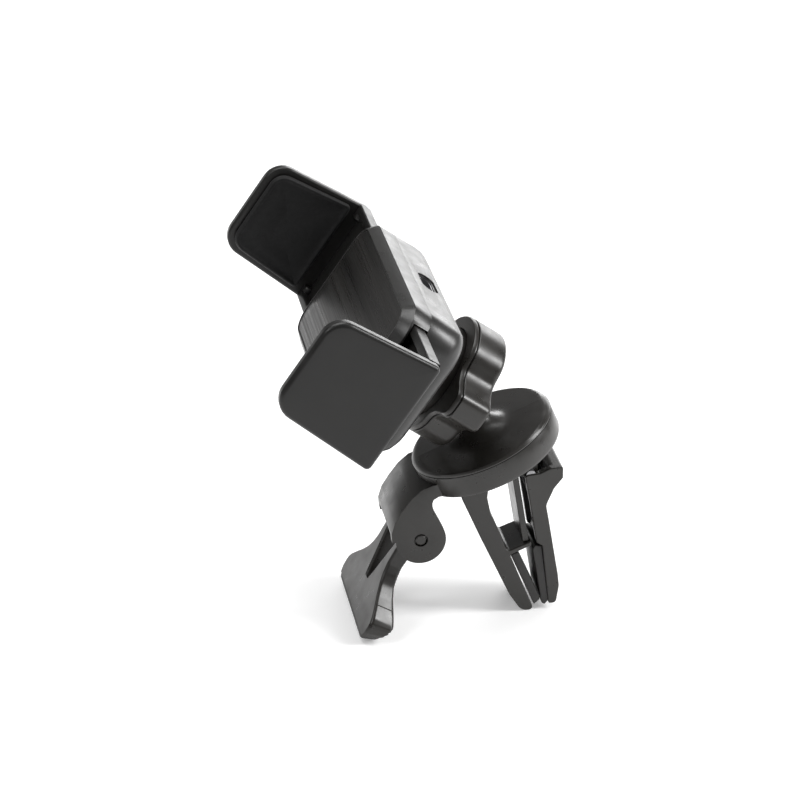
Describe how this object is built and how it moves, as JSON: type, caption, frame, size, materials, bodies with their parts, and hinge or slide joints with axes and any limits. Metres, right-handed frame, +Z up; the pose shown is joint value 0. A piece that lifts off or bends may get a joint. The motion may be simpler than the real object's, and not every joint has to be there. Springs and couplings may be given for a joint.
{
  "type": "car phone mount",
  "caption": "Cradle head with sliding padded clamp arms on a lockable ball joint, above a swivelling round base with a sprung vent clip and a folding support foot.",
  "frame": {"origin": "on the ground under the middle of the overall box, as the mount stands on its foot and its clip", "axes": "+Z up, +Y along the two clamp arms towards the far arm, +X along the clip from the support foot towards the thumb lever"},
  "size_m": [0.0778, 0.11, 0.1031],
  "materials": {
    "shell": "satin charcoal moulded plastic, fine texture",
    "plate": "dark plate with a brushed hairline along its length",
    "arm": "satin near-black moulded plastic",
    "pad": "soft near-black rubber, fine grain",
    "grip": "firm brown-black rubber, the same tone as the clip",
    "clip": "satin brown-black moulded plastic",
    "steel": "bright zinc-plated steel",
    "gear": "natural acetal",
    "coil": "enamelled copper winding",
    "ferrite": "dark grey ferrite sheet",
    "board": "green solder mask",
    "ring": "natural acetal bearing ring"
  },
  "bodies": {
    "clip": {"clip_base": "clip", "fixed_jaw": "clip", "jaw_screws": "steel", "fixed_jaw_pad": "grip", "foot_pin": "clip", "torsion_spring": "steel"},
    "foot": {"foot": "clip", "foot_pad": "grip"},
    "jaw": {"moving_jaw": "clip", "moving_jaw_pad": "grip", "jaw_pin": "steel"},
    "stud": {"ball_stud": "clip", "swivel_washer": "steel", "swivel_screw": "steel"},
    "cup": {"friction_cup": "pad"},
    "nut": {"locking_nut": "clip", "friction_ring": "ring"},
    "head": {"front_bezel": "shell", "face_plate": "plate", "rear_housing": "shell", "housing_screws": "steel", "pinion_axle": "steel", "gear_motor": "steel", "charging_coil": "coil", "ferrite_sheet": "ferrite", "circuit_board": "board", "usb_socket": "steel", "ball_socket": "clip", "socket_screws": "steel"},
    "far_clamp": {"far_arm": "arm", "far_arm_pad": "pad"},
    "near_clamp": {"near_arm": "arm", "near_arm_pad": "pad"},
    "pinion": {"pinion": "gear"},
    "motor_gear": {"motor_gear": "gear"}
  },
  "joints": [
    {"name": "foot_fold", "type": "hinge", "parent": "clip", "child": "foot", "pos_m": [0.00166, 0, 0.0244], "axis": [0, 1, 0], "range_deg": [-60, 30]},
    {"name": "jaw_open", "type": "hinge", "parent": "clip", "child": "jaw", "pos_m": [0.03056, 0, 0.0383], "axis": [0, -1, 0], "range_deg": [0, 22], "stiffness_Nm_per_rad": 0.1, "springref_deg": -57.3, "deforming": ["torsion_spring"]},
    {"name": "disc_swivel", "type": "hinge", "parent": "clip", "child": "stud", "pos_m": [0.01276, 0, 0.06195], "axis": [-0.3987, 0, 0.9171], "continuous": true},
    {"name": "ball_tilt", "type": "hinge", "parent": "stud", "child": "cup", "pos_m": [0.01276, 0, 0.06195], "axis": [0, 1, 0], "range_deg": [-6, 65]},
    {"name": "ball_lean", "type": "hinge", "parent": "cup", "child": "nut", "pos_m": [0.01276, 0, 0.06195], "axis": [0.5736, 0, 0.8192], "range_deg": [-11, 11]},
    {"name": "ball_turn", "type": "hinge", "parent": "nut", "child": "head", "pos_m": [0.01276, 0, 0.06195], "axis": [-0.8192, 0, 0.5736], "continuous": true},
    {"name": "far_arm_slide", "type": "slide", "parent": "head", "child": "far_clamp", "axis": [0, 1, 0], "range_m": [-0.0175, 0]},
    {"name": "near_arm_slide", "type": "slide", "parent": "head", "child": "near_clamp", "axis": [0, 1, 0], "range_m": [0, 0.0175]},
    {"name": "pinion_spin", "type": "hinge", "parent": "head", "child": "pinion", "pos_m": [-0.0069, 0, 0.07572], "axis": [-0.8192, 0, 0.5736], "range_deg": [0, 167.2]},
    {"name": "motor_gear_spin", "type": "hinge", "parent": "head", "child": "motor_gear", "pos_m": [-0.00362, 0.01005, 0.07342], "axis": [-0.8192, 0, 0.5736], "range_deg": [-501.5, 0]}
  ],
  "couplings": [
    {"joint": "near_arm_slide", "follows": "far_arm_slide", "ratio": -1},
    {"joint": "pinion_spin", "follows": "far_arm_slide", "rad_per_m": -166.67},
    {"joint": "motor_gear_spin", "follows": "far_arm_slide", "rad_per_m": 500}
  ]
}
